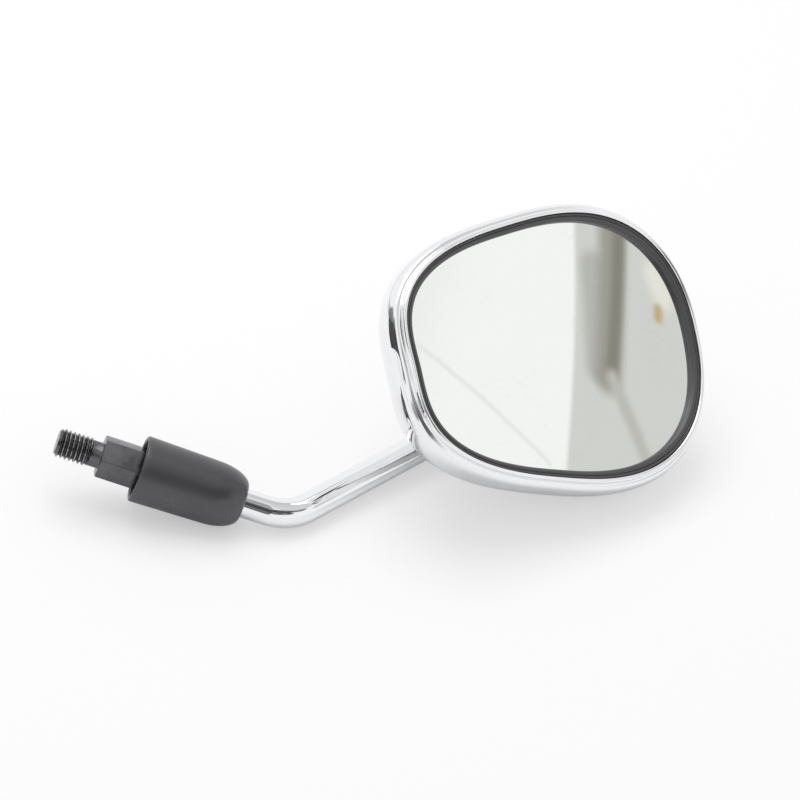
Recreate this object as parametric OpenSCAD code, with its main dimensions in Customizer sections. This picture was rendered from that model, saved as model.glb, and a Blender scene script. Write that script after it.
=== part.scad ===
// Motorcycle mirror: an oval head with a rubber-framed convex glass, a ball joint
// inside the head, a bent round arm and a hexagonal adapter with a threaded stud.
// The origin lies on the stud's axis, in the plane of the adapter's shoulder.
// +Z runs up the stem, the glass faces -Y and the arm leans towards -X.

/* [Stud adapter] */
// Crest diameter of the stud's thread
stud_d = 9.85; // [9.5:0.05:10.2]
// Length of the stud below the shoulder
stud_length = 15.2; // [14:0.1:24]
// Chamfer at the tip of the stud
stud_chamfer = 1; // [0.5:0.1:1.5]
// Diameter of the plain neck under the shoulder
relief_d = 8.8; // [7:0.1:9]
// Length of the plain neck under the shoulder
relief_length = 3.6; // [2:0.1:5]
// Width across the flats of the adapter's hexagon
hex_width = 13; // [12.5:0.5:15]
// Length of the hexagon
hex_length = 22; // [18:0.5:24]
// Turn of the hexagon about the stem
hex_turn = 21; // [0:1:59]
// Chamfer on the corners of the hexagon and of the lock nut
hex_chamfer = 0.4; // [0.3:0.1:1]
// Depth of the bore that takes the arm's spigot
bore_depth = 14; // [10:0.5:16]

/* [Arm] */
// Diameter of the chromed rod
rod_d = 10; // [9:0.5:12]
// How much the rod's radius swells where it is bent
bend_swell = 0.01; // [0.01:0.01:0.05]
// Diameter of the turned spigot at the foot of the rod
spigot_d = 8; // [7:0.5:8.5]
// Height of the crossing point of the stem and the arm
stem_height = 66.3; // [65:0.1:90]
// Radius of the bend between stem and arm
stem_bend_radius = 18; // [14:1:18]
// Lean of the arm away from the stem
arm_lean = 50; // [35:1:52]
// Distance between the crossing points at the two bends
arm_length = 84; // [70:1:120]
// Radius of the bend behind the head
neck_bend_radius = 15; // [12:1:15]
// Distance from the crossing point behind the head to the ball's centre
neck_length = 26; // [26:0.5:32]
// Diameter of the turned end of the rod that carries the ball
neck_d = 7.6; // [6:0.1:7.8]
// Height of the lock nut
nut_height = 6.5; // [5:0.1:7]

/* [Boot] */
// Distance from the shoulder to the mouth of the boot
boot_gap = 13.2; // [13.2:0.1:15]
// Length of the boot
boot_length = 37; // [36:0.5:40]
// Outer diameter at the mouth
boot_mouth_d = 22.7; // [22:0.1:28]
// Outer diameter where the rounded end starts
boot_end_d = 21.6; // [21:0.1:26]
// Length of the rounded end
boot_round_length = 12; // [6:0.5:12]
// How far the rounded end draws in on each side
boot_round_depth = 5.2; // [3:0.1:5.3]
// Wall thickness of the boot
boot_wall = 1.5; // [1:0.1:1.8]
// Length of the grip around the rod
boot_grip_length = 3; // [2:0.5:5]

/* [Ball joint] */
// Diameter of the ball
ball_d = 18; // [17:0.5:18]
// Thickness of the liner around the ball
liner_t = 1.5; // [1:0.1:1.5]
// Gap between the two halves of the liner
liner_gap = 3; // [2.8:0.1:3.4]
// Distance from the ball's centre back to the rear face of the socket
socket_depth = 7.2; // [6.8:0.1:7.5]
// Wall of the socket outside the liner
socket_wall = 2.6; // [2:0.1:3]
// Thickness of the socket's mounting flange
flange_t = 2; // [1.5:0.1:2.5]
// Thickness of the pressed clamp plate
clamp_t = 1.6; // [1.2:0.1:2]
// Gap between the socket flange and the clamp plate
clamp_gap = 2; // [1.5:0.1:2.5]
// Distance of the clamp screws from the ball's axis
screw_circle_r = 18; // [17.5:0.1:19]
// Diameter of the clamp screws
screw_d = 4; // [3:0.5:4]
// Length of the clamp screws below the head
screw_length = 15; // [14:0.5:15.5]
// Diameter of the heads of the clamp screws
screw_head_d = 7.4; // [6:0.1:7.6]
// Height of the heads of the clamp screws
screw_head_h = 2; // [1.5:0.1:2.2]
// Free height between clamp plate and washer, which the spring fills
spring_height = 5; // [4:0.1:5.2]
// Wire diameter of the clamp springs
spring_wire_d = 0.9; // [0.6:0.1:1]
// Turns of each clamp spring
spring_turns = 4; // [3:0.5:4.5]
// Thickness of the washers
washer_t = 0.8; // [0.5:0.1:1]

/* [Head outline] */
// Width of the opening inside the lip
opening_width = 117; // [112:0.1:126]
// Height of the opening inside the lip
opening_height = 86; // [80:0.1:92]
// Squareness of the outline: 2 is an ellipse
squareness = 2.7; // [2.1:0.05:3]
// Share by which the outline is higher at its outer end and lower at its inner end
outline_taper = 0.23; // [0.1:0.01:0.25]
// Rise of the outline from its centre to its outer end
outline_lean = 5.4; // [2:0.1:6]
// Shift of the outline's upper edge towards the arm, and of its lower edge away from it
outline_slant = 4.8; // [0:0.1:6]
// Shift of both the upper and the lower edge towards the arm, against the middle
outline_arch = 9.4; // [0:0.1:10]
// Offset of the outline's centre from the ball, away from the arm
outline_across = 5.8; // [0:0.1:8]
// Offset of the outline's centre from the ball, upwards
outline_up = 14.6; // [8:0.1:17]
// Turn of the glass towards the rider, about the arm
face_turn = 26; // [0:1:30]
// Turn of the outline in the plane of the glass, against the arm
face_roll = -22.9; // [-35:0.1:0]

/* [Shell] */
// Distance from the ball's centre to the front of the lip
lip_front = 22.6; // [22.3:0.1:24]
// Width of the rounded lip
lip_width = 1.4; // [1.2:0.1:2.2]
// Height of the lip over the shoulder of the shell
lip_stand = 2.8; // [2.4:0.1:4]
// Fillet at the foot of the lip
lip_fillet = 0.8; // [0.4:0.1:1]
// How far the body of the shell swells beyond the lip
flare = 2.7; // [2:0.1:5]
// Distance from the front of the lip back to the widest place
flare_setback = 7.6; // [7:0.1:8.4]
// Wall thickness of the shell
shell_wall = 2.2; // [1.8:0.1:2.2]
// Radius at which the back of the shell turns flat around the collar
collar_root_r = 14.5; // [14:0.1:15.5]
// Outer radius of the collar around the neck
collar_r = 13; // [12.5:0.1:13.5]
// Height of the collar over the back of the shell
collar_stand = 1; // [0.6:0.1:1.1]
// Radius of the opening for the neck
collar_opening_r = 9.6; // [9.3:0.1:10.2]
// Radius of the screw bosses inside the shell
boss_r = 4; // [3.6:0.1:4.5]

/* [Glass and gasket] */
// Thickness of the glass
glass_t = 2.8; // [2:0.1:3]
// Radius of the convex glass
glass_radius = 1200; // [1000:50:1400]
// Depth of the glass edge behind the front of the lip
glass_recess = 3; // [2.6:0.1:3.2]
// Width of the gasket seen from the front
gasket_width = 2.7; // [2.6:0.1:4]
// How far the gasket covers the edge of the glass
gasket_overlap = 1.6; // [1.4:0.1:1.8]
// Depth of the gasket's face behind the front of the lip
gasket_recess = 0.7; // [0.4:0.1:1.2]
// Rubber behind the edge of the glass
gasket_back = 1; // [0.8:0.1:1.2]
// Width of the ledge that carries the gasket
ledge_width = 1.6; // [1:0.1:2]
// Thickness of the ledge that carries the gasket
ledge_t = 1.6; // [1:0.1:1.7]
// Distance of the foam pad's edge inside the gasket
foam_inset = 4; // [2:0.5:10]
// Free depth between the screw heads and the foam pad
foam_gap = 0.5; // [0.3:0.1:0.8]

/* [Fits] */
// Radial clearance between spigot and adapter
spigot_clearance = 0.05; // [0.03:0.01:0.1]
// Radial clearance between the boot's grip and the rod
grip_clearance = 0.06; // [0.03:0.01:0.1]
// Radial clearance between ball and liner, and between liner and seats
ball_clearance = 0.1; // [0.05:0.01:0.15]
// Radial clearance of parts that are pushed together once
push_clearance = 0.03; // [0.01:0.01:0.05]
// Axial gap between the lock nut and the adapter
nut_gap = 0.1; // [0.05:0.05:0.3]
// Radial clearance of the clamp screws in the plates
screw_clearance = 0.2; // [0.1:0.05:0.3]
// Gap around the gasket and the glass inside it
rubber_clearance = 0.05; // [0.02:0.01:0.1]

/* [Hidden] */

$fn = 64;
fine_fn = 96;
outline_steps = 72;
// How far a cutting shape reaches past the face it cuts
slide_over = 1;

rod_r = rod_d / 2;
spigot_r = spigot_d / 2;
neck_r = neck_d / 2;
ball_r = ball_d / 2;
screw_r = screw_d / 2;
head_r = screw_head_d / 2;

// Heights along the stem
spigot_end_gap = 1;
nut_bottom = hex_length + nut_gap;
nut_top = nut_bottom + nut_height;
bore_bottom = hex_length - bore_depth;
spigot_bottom = bore_bottom + spigot_end_gap;
spigot_top = nut_top + spigot_end_gap;
boot_top = boot_gap + boot_length;
boot_round_start = boot_top - boot_round_length;

// Spheres of the joint, from the ball outwards
liner_bore_r = ball_r + ball_clearance;
liner_r = liner_bore_r + liner_t;
seat_r = liner_r + ball_clearance;
socket_r = seat_r + socket_wall;
clamp_dome_r = seat_r + clamp_t;
// The arm ends in the ball at this depth, and the ball's bore runs a little further
neck_end_depth = ball_r / 2;
ball_bore_spare = 0.5;

// Depths in the head, measured from the ball's centre towards the glass
liner_set_in = 0.8;
rear_liner_length = 3.8;
liner_opening_angle = 25;
rear_liner_back = -socket_depth + liner_set_in;
rear_liner_front = rear_liner_back + rear_liner_length;
front_liner_back = rear_liner_front + liner_gap;
front_liner_front = liner_r * cos(liner_opening_angle);
flange_back = 0;
flange_front = flange_back + flange_t;
clamp_back = flange_front + clamp_gap;
clamp_front = clamp_back + clamp_t;
clamp_dome_back = clamp_back + clamp_t / 4;
clamp_dome_front = front_liner_front - clamp_t / 4;
washer_back = clamp_front + spring_height;
head_back = washer_back + washer_t;
foam_back = head_back + screw_head_h + foam_gap;
glass_edge_front = lip_front - glass_recess;
gasket_front = lip_front - gasket_recess;
ledge_front = glass_edge_front - glass_t - gasket_back;
ledge_back = ledge_front - ledge_t;
shoulder_front = lip_front - lip_stand;
flare_z = lip_front - flare_setback;
floor_z = -socket_depth;
back_z = floor_z - shell_wall;
collar_back = back_z - collar_stand;

// Clamp hardware
lug_margin = 0.8;
washer_margin = 0.4;
thread_depth = 0.4;
pilot_spare = 0.5;
spring_gap = 0.4;
lug_r = head_r + lug_margin;
washer_r = head_r + washer_margin;
screw_hole_r = screw_r + screw_clearance;
pilot_r = screw_r - thread_depth;
screw_end = head_back - screw_length;
pilot_bottom = screw_end - pilot_spare;
spring_coil_r = screw_r + spring_wire_d / 2 + spring_gap;
screw_angles = [90, 210, 330];
// The seam of every sphere around the ball lies at this angle, between the lugs
seam_angle = 25;

// How far the crowned faces of the glass are drawn past the opening's half width
crown_spare = 8;

// Small radii at the edges of the collar
collar_edge_r = 0.5;
collar_bevel = 0.4;

// Places along the arm
module at_arm() {
    translate([0, 0, stem_height])
        rotate([0, -arm_lean, 0])
            children();
}

module at_neck() {
    at_arm()
        translate([0, 0, arm_length])
            rotate([0, 0, face_turn])
                rotate([90, 0, 0])
                    children();
}

// The head's own frame: the ball's centre, with z towards the glass and x across it
module at_head() {
    at_neck()
        translate([0, 0, neck_length])
            rotate([0, 0, 90 + face_roll])
                children();
}

module at_screw(index) {
    rotate([0, 0, screw_angles[index]])
        translate([screw_circle_r, 0, 0])
            children();
}

// A straight round bar between two heights
module bar(radius, bottom, top) {
    translate([0, 0, bottom])
        cylinder(r = radius, h = top - bottom);
}

// A sphere around the ball's centre
module joint_sphere(radius) {
    rotate([0, 0, seam_angle])
        sphere(r = radius, $fn = fine_fn);
}

// A quarter of an ellipse in n steps, from its end on the x axis to its end on the y axis
function quarter_ellipse(rx, ry, n) =
    [for (i = [0 : n]) [rx * cos(90 * i / n), ry * sin(90 * i / n)]];

// Distance from a bend's crossing point to where the bend starts
function bend_reach(radius, angle) = radius * tan(angle / 2);

// A bend of the rod around its crossing point, from +z towards -x
module bend(radius, angle) {
    translate([-radius, 0, -bend_reach(radius, angle)])
        rotate([90, 0, 0])
            rotate_extrude(angle = angle, $fn = fine_fn)
                translate([radius, 0])
                    circle(r = rod_r + bend_swell);
}

// A hexagonal bar whose corners are turned off at both ends
module hexagon(width, height, chamfer) {
    corner_r = width / 2 / cos(30);
    intersection() {
        cylinder(r = corner_r, h = height, $fn = 6);
        rotate_extrude()
            polygon([
                [0, 0], [corner_r - chamfer, 0], [corner_r, chamfer],
                [corner_r, height - chamfer], [corner_r - chamfer, height], [0, height]
            ]);
    }
}

// Adapter: stud, plain neck and hexagon with a blind bore for the arm
module stud_adapter() {
    color([0.24, 0.24, 0.26])
        difference() {
            union() {
                rotate_extrude()
                    polygon([
                        [0, -stud_length], [stud_d / 2 - stud_chamfer, -stud_length],
                        [stud_d / 2, -stud_length + stud_chamfer], [stud_d / 2, -relief_length],
                        [relief_d / 2, -relief_length], [relief_d / 2, 0], [0, 0]
                    ]);
                rotate([0, 0, hex_turn])
                    hexagon(hex_width, hex_length, hex_chamfer);
            }
            bar(spigot_r + spigot_clearance, bore_bottom, hex_length + slide_over);
        }
}

// Arm: one rod with a turned spigot, two bends and a turned neck for the ball
module arm_rod() {
    stem_reach = bend_reach(stem_bend_radius, arm_lean);
    neck_reach = bend_reach(neck_bend_radius, 90);
    color([0.86, 0.87, 0.89])
        union() {
            bar(spigot_r, spigot_bottom, spigot_top);
            bar(rod_r, spigot_top, stem_height - stem_reach);
            translate([0, 0, stem_height])
                bend(stem_bend_radius, arm_lean);
            at_arm()
                bar(rod_r, stem_reach, arm_length - neck_reach);
            at_arm()
                translate([0, 0, arm_length])
                    rotate([0, 0, face_turn + 90])
                        bend(neck_bend_radius, 90);
            at_neck()
                bar(neck_r, neck_reach, neck_length + neck_end_depth);
        }
}

// Lock nut under the boot, which jams the arm against the adapter
module lock_nut() {
    color([0.55, 0.56, 0.58])
        translate([0, 0, nut_bottom])
            difference() {
                hexagon(hex_width, nut_height, hex_chamfer);
                bar(spigot_r + push_clearance, -slide_over, nut_height + slide_over);
            }
}

// Ball pushed onto the end of the rod
module pivot_ball() {
    color([0.6, 0.61, 0.63])
        at_head()
            difference() {
                joint_sphere(ball_r);
                bar(neck_r + push_clearance, -ball_r - slide_over, neck_end_depth + ball_bore_spare);
            }
}

// Boot: a tapered sleeve with a rounded end that grips the rod
module boot() {
    mouth_r = boot_mouth_d / 2;
    end_r = boot_end_d / 2;
    inner_top = boot_top - boot_grip_length;
    outer_round = [
        for (p = quarter_ellipse(boot_round_depth, boot_round_length, 10))
            [end_r - boot_round_depth + p[0], boot_round_start + p[1]]
    ];
    inner_round = [
        for (p = quarter_ellipse(boot_round_depth, inner_top - boot_round_start, 8))
            [end_r - boot_round_depth - boot_wall + p[0], boot_round_start + p[1]]
    ];
    color([0.29, 0.29, 0.31])
        rotate_extrude()
            difference() {
                polygon(concat([[0, boot_gap], [mouth_r, boot_gap]], outer_round, [[0, boot_top]]));
                polygon(concat(
                    [[0, boot_gap - slide_over], [mouth_r - boot_wall, boot_gap - slide_over],
                     [mouth_r - boot_wall, boot_gap]],
                    inner_round, [[0, inner_top]]
                ));
                translate([0, inner_top - slide_over])
                    square([rod_r + grip_clearance, boot_grip_length + 2 * slide_over]);
            }
}

// A ring of the sphere around the ball, between two planes across its axis
module liner_ring(back, front) {
    difference() {
        intersection() {
            joint_sphere(liner_r);
            bar(liner_r + slide_over, back, front);
        }
        joint_sphere(liner_bore_r);
    }
}

module rear_liner() {
    color([0.9, 0.89, 0.84])
        at_head()
            liner_ring(rear_liner_back, rear_liner_front);
}

module front_liner() {
    color([0.9, 0.89, 0.84])
        at_head()
            liner_ring(front_liner_back, front_liner_front);
}

// Signed power, for the superellipse
function spow(base, exponent) = sign(base) * pow(abs(base), exponent);

// Point of the head's outline at an angle, at a distance outside the opening
function outline_point(angle, grow) =
    let (
        u = spow(cos(angle), 2 / squareness),
        v = spow(sin(angle), 2 / squareness)
    )
    [
        outline_across + (opening_width / 2 + grow) * u - outline_slant * v - outline_arch * v * v,
        outline_up + (opening_height / 2 + grow) * (1 + outline_taper * u) * v + outline_lean * u
    ];

function outline(grow) =
    [for (i = [0 : outline_steps - 1]) outline_point(360 * i / outline_steps, grow)];

// A plate with the head's outline between two depths
module outline_plate(grow, back, front) {
    translate([0, 0, back])
        linear_extrude(front - back)
            polygon(outline(grow));
}

// Rings of the shell: [distance outside the opening, depth, share of the circle, its radius]
function outline_ring(grow, z) = [grow, z, 0, 0];
function round_ring(radius, z) = [0, z, 1, radius];

function ring_points(ring) = [
    for (i = [0 : outline_steps - 1])
        let (
            angle = 360 * i / outline_steps,
            p = outline_point(angle, ring[0]),
            q = ring[3] * [cos(angle), sin(angle)],
            share = ring[2]
        )
        [p[0] * (1 - share) + q[0] * share, p[1] * (1 - share) + q[1] * share, ring[1]]
];

// Domed back: the outline shrinks along an ellipse into the round root of the collar
function dome_rings(grow, root_r, front, back, n) = [
    for (i = [0 : n])
        let (angle = 90 * i / n)
        [grow, front - (front - back) * sin(angle), 1 - cos(angle), root_r]
];

function reversed(list) = [for (i = [len(list) - 1 : -1 : 0]) list[i]];

// Section of the shell, from the inner edge of the lip out, back and in again
function shell_rings() =
    let (
        lip_r = lip_width / 2,
        swell = flare - lip_fillet,
        lip = [
            for (a = [180 : -45 : 0])
                outline_ring(lip_r + lip_r * cos(a), lip_front - lip_r + lip_r * sin(a))
        ],
        fillet = [
            for (a = [0 : 30 : 90])
                outline_ring(
                    lip_width + lip_fillet * (1 - cos(a)),
                    shoulder_front + lip_fillet * (1 - sin(a))
                )
        ],
        shoulder = [
            for (a = [18 : 18 : 72])
                outline_ring(
                    lip_width + lip_fillet + swell * sin(a),
                    flare_z + (shoulder_front - flare_z) * cos(a)
                )
        ],
        outer = dome_rings(lip_width + flare, collar_root_r, flare_z, back_z, 10),
        collar = [
            for (a = [0 : 45 : 90])
                round_ring(
                    collar_r - collar_edge_r * (1 - cos(a)),
                    collar_back + collar_edge_r * (1 - sin(a))
                )
        ],
        opening = [
            round_ring(collar_opening_r + collar_bevel, collar_back),
            round_ring(collar_opening_r, collar_back + collar_bevel),
            round_ring(collar_opening_r, floor_z)
        ],
        inner = reversed(
            dome_rings(lip_width + flare - shell_wall, collar_root_r, ledge_back, floor_z, 8)
        ),
        ledge = [
            outline_ring(-ledge_width, ledge_back),
            outline_ring(-ledge_width, ledge_front),
            outline_ring(0, ledge_front)
        ]
    )
    concat(lip, fillet, shoulder, outer, collar, opening, inner, ledge);

// Solid skin through closed rings, joined at both ends
module ring_skin(rings) {
    count = len(rings);
    steps = outline_steps;
    points = [for (ring = rings) each ring_points(ring)];
    faces = [
        for (r = [0 : count - 1])
            for (i = [0 : steps - 1])
                let (
                    next_r = (r + 1) % count,
                    next_i = (i + 1) % steps,
                    a = r * steps + i,
                    b = r * steps + next_i,
                    c = next_r * steps + next_i,
                    d = next_r * steps + i
                )
                each [[a, b, c], [a, c, d]]
    ];
    polyhedron(points = points, faces = faces, convexity = 6);
}

// Shell: rounded lip, swelling shoulder, domed back, collar and three screw bosses
module housing_shell() {
    color([0.88, 0.89, 0.91])
        at_head()
            difference() {
                union() {
                    ring_skin(shell_rings());
                    for (i = [0 : 2])
                        at_screw(i)
                            bar(boss_r, back_z + shell_wall / 2, flange_back);
                }
                for (i = [0 : 2])
                    at_screw(i)
                        bar(pilot_r, pilot_bottom, flange_back + slide_over);
            }
}

// Round plate with an opening and three lugs, drilled for the clamp screws
module lug_plate(opening_r, back, front) {
    translate([0, 0, back])
        linear_extrude(front - back)
            difference() {
                union() {
                    circle(r = socket_r);
                    for (angle = screw_angles)
                        rotate(angle)
                            union() {
                                translate([screw_circle_r, 0])
                                    circle(r = lug_r);
                                translate([0, -lug_r])
                                    square([screw_circle_r, 2 * lug_r]);
                            }
                }
                circle(r = opening_r);
                for (angle = screw_angles)
                    rotate(angle)
                        translate([screw_circle_r, 0])
                            circle(r = screw_hole_r);
            }
}

// Socket: spherical seat behind the ball, on a flange with three lugs
module socket() {
    color([0.2, 0.2, 0.21])
        at_head()
            difference() {
                union() {
                    bar(socket_r, -socket_depth, flange_back);
                    lug_plate(ball_r, flange_back, flange_front);
                }
                joint_sphere(seat_r);
            }
}

// Clamp plate: a pressed cap that holds the ball into the socket
module clamp_plate() {
    clamp_opening_r = seat_r - clamp_t / 5;
    color([0.72, 0.72, 0.66])
        at_head()
            union() {
                difference() {
                    joint_sphere(clamp_dome_r);
                    joint_sphere(seat_r);
                    bar(clamp_dome_r + slide_over, -clamp_dome_r - slide_over, clamp_dome_back);
                    bar(clamp_dome_r + slide_over, clamp_dome_front, clamp_dome_r + slide_over);
                }
                lug_plate(clamp_opening_r, clamp_back, clamp_front);
            }
}

// Clamp screw: pan head with a cross recess and a plain shank
module clamp_screw(index) {
    recess = [screw_d * 0.9, screw_d * 0.22, screw_head_h];
    crown_r = head_r * 0.4;
    crown_h = screw_head_h * 0.6;
    color([0.66, 0.64, 0.56])
        at_head()
            at_screw(index)
                difference() {
                    union() {
                        bar(pilot_r - push_clearance, screw_end, flange_back);
                        bar(screw_r, flange_back, head_back);
                        translate([0, 0, head_back])
                            rotate_extrude()
                                polygon(concat(
                                    [[0, 0], [head_r, 0]],
                                    [for (p = quarter_ellipse(crown_r, crown_h, 4))
                                        [head_r - crown_r + p[0], screw_head_h - crown_h + p[1]]],
                                    [[0, screw_head_h]]
                                ));
                    }
                    for (turn = [0, 90])
                        rotate([0, 0, turn])
                            translate([0, 0, head_back + screw_head_h])
                                cube(recess, center = true);
                }
}

module clamp_washer(index) {
    color([0.66, 0.64, 0.56])
        at_head()
            at_screw(index)
                difference() {
                    bar(washer_r, washer_back, head_back);
                    bar(screw_hole_r, washer_back - slide_over, head_back + slide_over);
                }
}

// A wire wound around the z axis between two depths
module coil(coil_r, wire_r, back, front, turns) {
    sides = 8;
    per_turn = 14;
    count = turns * per_turn;
    rise = front - back - 2 * wire_r;
    points = [
        for (i = [0 : count])
            for (k = [0 : sides - 1])
                let (
                    turn = 360 * i / per_turn,
                    around = 360 * k / sides,
                    radius = coil_r + wire_r * cos(around)
                )
                [
                    radius * cos(turn), radius * sin(turn),
                    back + wire_r + rise * i / count + wire_r * sin(around)
                ]
    ];
    skin = [
        for (i = [0 : count - 1])
            for (k = [0 : sides - 1])
                let (
                    next_k = (k + 1) % sides,
                    a = i * sides + k,
                    b = i * sides + next_k
                )
                each [[a, b, b + sides], [a, b + sides, a + sides]]
    ];
    near_cap = [for (k = [sides - 1 : -1 : 0]) k];
    far_cap = [for (k = [0 : sides - 1]) count * sides + k];
    polyhedron(points = points, faces = concat(skin, [near_cap, far_cap]), convexity = 8);
}

module clamp_spring(index) {
    color([0.7, 0.71, 0.73])
        at_head()
            at_screw(index)
                coil(
                    spring_coil_r, spring_wire_d / 2,
                    clamp_front + push_clearance, washer_back - push_clearance, spring_turns
                );
}

// Everything behind the convex front of the glass, lowered by a drop
module under_crown(drop) {
    edge_r = opening_width / 2;
    reach = edge_r + crown_spare;
    steps = 12;
    centre_z = glass_edge_front - sqrt(glass_radius * glass_radius - edge_r * edge_r) - drop;
    arc = [
        for (i = [steps : -1 : 0])
            let (r = reach * i / steps)
            [r, centre_z + sqrt(glass_radius * glass_radius - r * r)]
    ];
    translate([outline_across, outline_up, 0])
        rotate_extrude($fn = fine_fn)
            polygon(concat([[0, back_z], [reach, back_z]], arc));
}

// A plate with the head's outline whose faces follow the glass
module crowned_plate(grow, front_drop, thickness) {
    difference() {
        intersection() {
            outline_plate(grow, ledge_back, gasket_front);
            under_crown(front_drop);
        }
        under_crown(front_drop + thickness);
    }
}

module mirror_glass() {
    color([0.72, 0.78, 0.76])
        at_head()
            crowned_plate(gasket_overlap - gasket_width, 0, glass_t);
}

// Gasket: rubber frame with a groove for the edge of the glass
module gasket() {
    color([0.07, 0.07, 0.08])
        at_head()
            difference() {
                outline_plate(-rubber_clearance, ledge_front, gasket_front);
                outline_plate(-gasket_width, ledge_front - slide_over, gasket_front + slide_over);
                crowned_plate(
                    gasket_overlap - gasket_width + rubber_clearance,
                    -rubber_clearance, glass_t + 2 * rubber_clearance
                );
            }
}

// Foam pad bonded to the back of the glass
module foam_pad() {
    color([0.35, 0.35, 0.37])
        at_head()
            intersection() {
                outline_plate(-gasket_width - foam_inset, foam_back, gasket_front);
                under_crown(glass_t + push_clearance);
            }
}

stud_adapter();
arm_rod();
lock_nut();
pivot_ball();
boot();
rear_liner();
front_liner();
housing_shell();
socket();
clamp_plate();
clamp_screw(0);  // clamp_screw_1
clamp_screw(1);  // clamp_screw_2
clamp_screw(2);  // clamp_screw_3
clamp_washer(0);  // clamp_washer_1
clamp_washer(1);  // clamp_washer_2
clamp_washer(2);  // clamp_washer_3
clamp_spring(0);  // clamp_spring_1
clamp_spring(1);  // clamp_spring_2
clamp_spring(2);  // clamp_spring_3
foam_pad();
mirror_glass();
gasket();
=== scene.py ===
"""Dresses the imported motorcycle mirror: detailed pieces, finishes and a small table-top studio."""

import math

import bmesh
import bpy
from bpy.props import FloatProperty, FloatVectorProperty, IntProperty, PointerProperty
from bpy.types import Operator, Panel, PropertyGroup
from mathutils import Matrix, Vector


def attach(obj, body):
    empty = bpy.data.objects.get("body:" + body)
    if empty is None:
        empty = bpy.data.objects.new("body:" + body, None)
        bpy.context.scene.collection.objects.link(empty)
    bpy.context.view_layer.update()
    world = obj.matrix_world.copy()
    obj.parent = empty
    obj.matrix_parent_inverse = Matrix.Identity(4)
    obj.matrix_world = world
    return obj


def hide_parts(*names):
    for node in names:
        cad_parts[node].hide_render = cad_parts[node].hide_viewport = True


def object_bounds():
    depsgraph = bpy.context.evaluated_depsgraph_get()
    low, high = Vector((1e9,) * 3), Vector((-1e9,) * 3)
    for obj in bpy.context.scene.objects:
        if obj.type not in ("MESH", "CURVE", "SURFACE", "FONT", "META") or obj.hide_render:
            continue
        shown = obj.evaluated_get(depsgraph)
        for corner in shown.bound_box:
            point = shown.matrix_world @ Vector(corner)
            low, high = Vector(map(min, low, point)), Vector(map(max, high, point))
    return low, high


bl_info = {
    "name": "Motorcycle Mirror",
    "version": (1, 0, 0),
    "blender": (4, 5, 0),
    "location": "View3D > Sidebar > Mirror",
    "description": "Detailed pieces, finishes and studio of an oval chrome mirror",
    "category": "Add Mesh",
}

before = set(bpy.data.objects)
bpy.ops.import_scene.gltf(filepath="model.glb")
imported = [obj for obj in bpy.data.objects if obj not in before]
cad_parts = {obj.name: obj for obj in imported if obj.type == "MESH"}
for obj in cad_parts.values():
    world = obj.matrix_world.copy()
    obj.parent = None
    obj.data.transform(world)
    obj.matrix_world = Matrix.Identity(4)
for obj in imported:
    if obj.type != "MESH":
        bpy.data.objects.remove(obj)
CAD_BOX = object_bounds()

MM = 0.001


def size(name, default):
    """A length that is given in millimetres and kept in metres."""
    return FloatProperty(name=name, default=default * MM, unit="LENGTH", precision=5)


def turn(name, default):
    """An angle that is given in degrees and kept in radians."""
    return FloatProperty(name=name, default=math.radians(default), subtype="ANGLE")


def colour(name, default):
    return FloatVectorProperty(name=name, default=default, subtype="COLOR", size=3,
                               min=0.0, max=1.0)


class MirrorArmSizes(PropertyGroup):
    """Sizes of the stud adapter, the rod and the boot. Heights count from the shoulder."""
    stud_radius: size("Thread crest radius", 4.925)
    stud_root: size("Thread root radius", 4.1)
    stud_length: size("Stud length", 15.2)
    stud_chamfer: size("Stud tip chamfer", 1)
    thread_pitch: size("Thread pitch", 1.5)
    relief_length: size("Plain neck length", 3.6)
    relief_radius: size("Plain neck radius", 4.4)
    hex_width: size("Width across flats", 13)
    hex_length: size("Hexagon length", 22)
    hex_chamfer: size("Turned corner chamfer", 0.4)
    hex_turn: turn("Hexagon turn about the stem", 21)
    bore_radius: size("Spigot bore radius", 4.05)
    bore_depth: size("Spigot bore depth", 14)
    rod_radius: size("Rod radius", 5)
    bend_swell: size("Rod swelling in bends", 0.01)
    spigot_radius: size("Spigot radius", 4)
    spigot_bottom: size("Spigot foot height", 9)
    spigot_top: size("Full rod start height", 29.6)
    stem_height: size("Stem and arm crossing height", 66.3)
    stem_bend: size("Stem bend radius", 18)
    arm_lean: turn("Arm lean from the stem", 50)
    arm_length: size("Arm length between crossings", 84)
    neck_bend: size("Neck bend radius", 15)
    neck_length: size("Neck crossing to ball", 26)
    neck_radius: size("Ball neck radius", 3.8)
    neck_end: size("Neck reach past the ball's centre", 4.5)
    face_turn: turn("Glass turn about the arm", 26)
    face_roll: turn("Outline turn in its plane", -22.9)
    boot_bottom: size("Boot mouth height", 13.2)
    boot_length: size("Boot length", 37)
    boot_mouth: size("Boot mouth radius", 11.35)
    boot_end: size("Boot radius before its rounding", 10.8)
    boot_round: size("Rounded end length", 12)
    boot_draw: size("Rounded end draw-in", 5.2)
    boot_wall: size("Boot wall", 1.5)
    boot_grip: size("Grip length on the rod", 3)
    grip_radius: size("Grip inner radius", 5.06)


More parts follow.
